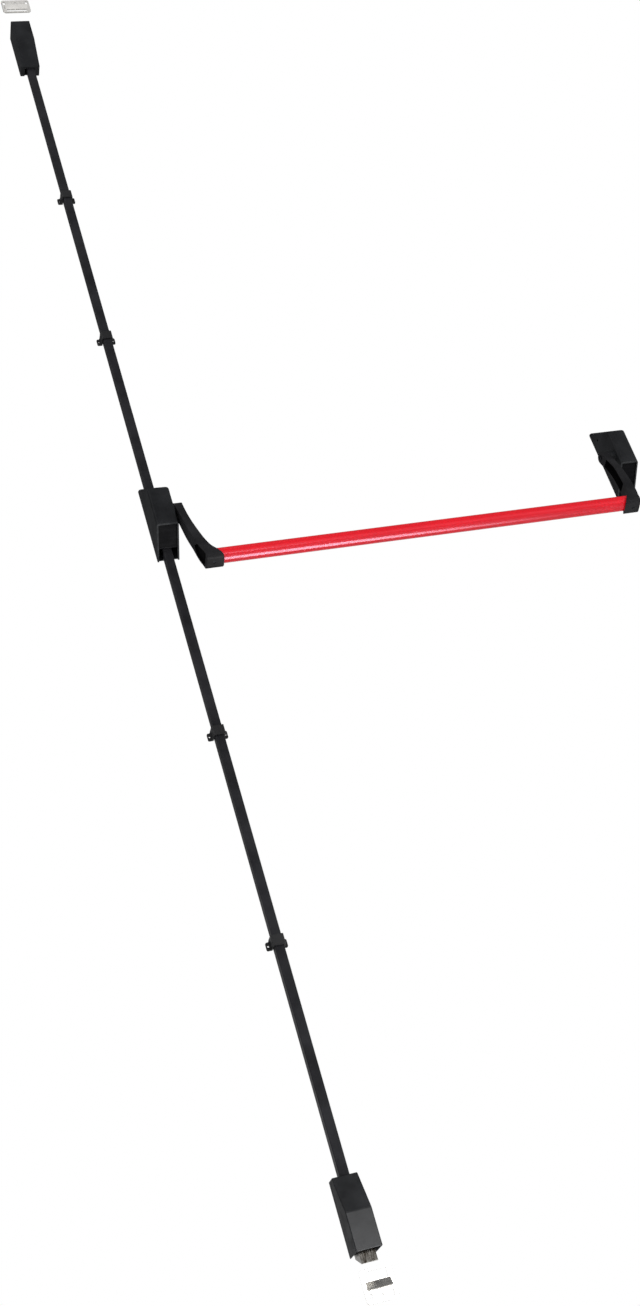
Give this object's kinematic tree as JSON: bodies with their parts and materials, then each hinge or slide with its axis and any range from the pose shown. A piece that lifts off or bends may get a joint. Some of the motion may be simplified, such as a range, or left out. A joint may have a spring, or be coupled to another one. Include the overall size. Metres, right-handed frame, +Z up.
{
  "type": "vertical rod exit device",
  "caption": "Push bar on two arms that draws a top and a bottom bolt through vertical rods on a door's face.",
  "frame": {"origin": "on the door's face, on the rods' centre line, at the height of the push arms' pivot axis", "axes": "+X along the push bar away from the rods, +Y into the door, +Z up"},
  "size_m": [0.9692, 0.1165, 2.8384],
  "materials": {
    "cover_paint": "satin black powder coat",
    "rod_paint": "semi-gloss black paint",
    "arm_paint": "satin black paint on a casting",
    "bar_red": "glossy red enamel",
    "nylon": "black nylon",
    "nickel": "nickel plate",
    "black_zinc": "black passivated zinc",
    "zinc": "bright zinc plate",
    "steel": "bright turned steel",
    "spring": "spring steel",
    "dark_screw": "black oxide"
  },
  "bodies": {
    "fixed": {"centre_chassis": "black_zinc", "centre_cover": "cover_paint", "centre_shield": "cover_paint", "centre_cover_screw": "dark_screw", "centre_spring": "spring", "end_chassis": "black_zinc", "end_cover": "cover_paint", "end_shield": "cover_paint", "end_cover_screw": "dark_screw", "end_spring": "spring", "pinion_post": "steel", "top_latch_chassis": "black_zinc", "top_latch_cover": "cover_paint", "top_latch_screw": "dark_screw", "bottom_latch_chassis": "black_zinc", "bottom_latch_cover": "cover_paint", "bottom_latch_screw": "dark_screw", "rod_guide_1": "nylon", "rod_guide_2": "nylon", "rod_guide_3": "nylon", "rod_guide_4": "nylon", "top_strike": "nickel", "bottom_strike": "nickel"},
    "bar": {"drive_lever": "zinc", "lever_pin": "steel", "left_spacer": "steel", "right_spacer": "steel", "left_arm": "arm_paint", "right_arm": "arm_paint", "left_axle": "steel", "right_axle": "steel", "left_arm_screw": "dark_screw", "right_arm_screw": "dark_screw", "left_bar_grub": "dark_screw", "right_bar_grub": "dark_screw", "push_bar": "bar_red"},
    "upper_rods": {"top_bolt": "nickel", "top_bolt_pin": "steel", "upper_rod": "rod_paint", "upper_tail": "zinc", "upper_tail_pin": "steel"},
    "lower_rods": {"bottom_bolt": "nickel", "bottom_bolt_pin": "steel", "lower_rod": "rod_paint", "lower_tail": "zinc", "lower_tail_pin": "steel"},
    "pinion": {"pinion": "steel"}
  },
  "joints": [
    {"name": "bar_swing", "type": "hinge", "parent": "fixed", "child": "bar", "pos_m": [0.461, -0.049, 0], "axis": [1, 0, 0], "range_deg": [0, 22.92], "stiffness_Nm_per_rad": 1.5, "springref_deg": -40.11},
    {"name": "lower_rod_slide", "type": "slide", "parent": "fixed", "child": "lower_rods", "axis": [0, 0, 1], "range_m": [0, 0.01442]},
    {"name": "upper_rod_slide", "type": "slide", "parent": "fixed", "child": "upper_rods", "axis": [0, 0, -1], "range_m": [0, 0.01442]},
    {"name": "pinion_spin", "type": "hinge", "parent": "fixed", "child": "pinion", "pos_m": [0, -0.0072, -0.02], "axis": [0, 1, 0], "range_deg": [0, 137.7]}
  ],
  "couplings": [
    {"joint": "lower_rod_slide", "follows": "bar_swing", "m_per_rad": 0.03602},
    {"joint": "upper_rod_slide", "follows": "bar_swing", "m_per_rad": 0.03602},
    {"joint": "pinion_spin", "follows": "bar_swing", "ratio": 6.0033}
  ]
}
